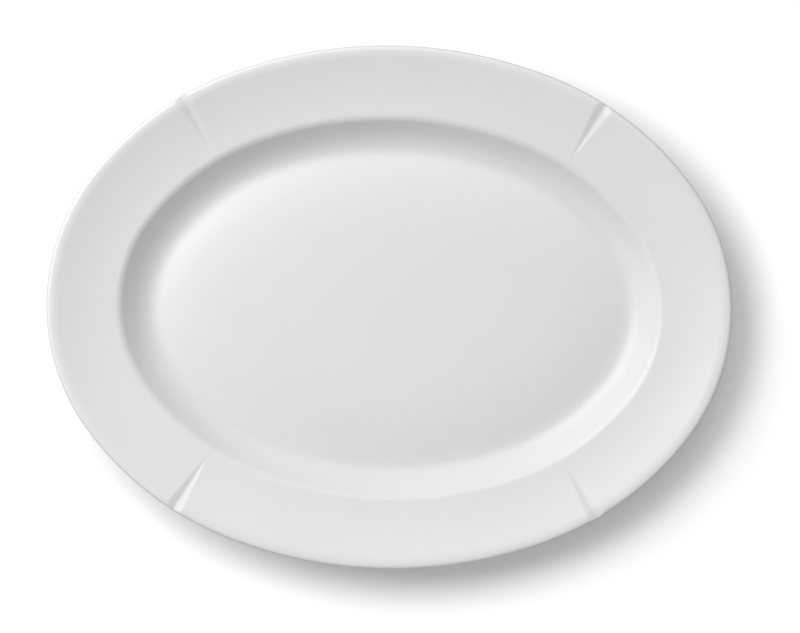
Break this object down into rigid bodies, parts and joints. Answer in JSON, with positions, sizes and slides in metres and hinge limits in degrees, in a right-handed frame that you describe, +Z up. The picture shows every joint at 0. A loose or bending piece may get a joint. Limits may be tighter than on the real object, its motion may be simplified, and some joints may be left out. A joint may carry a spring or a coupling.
{
  "type": "serving platter",
  "caption": "Oval serving platter in glazed white china: a wide rim with short tapering grooves round a shallow well with a gently raised floor, on a low foot ring.",
  "frame": {"origin": "middle of the oval, on the plane that the foot ring stands on", "axes": "+X along the long axis of the oval, +Y along its short axis, +Z up out of the well"},
  "size_m": [0.36, 0.275, 0.0294],
  "materials": {
    "bisque": "matte",
    "glaze": "gloss"
  },
  "bodies": {
    "root": {"porcelain_body": "bisque", "glaze_coat": "glaze", "base_glaze": "glaze"}
  },
  "joints": []
}
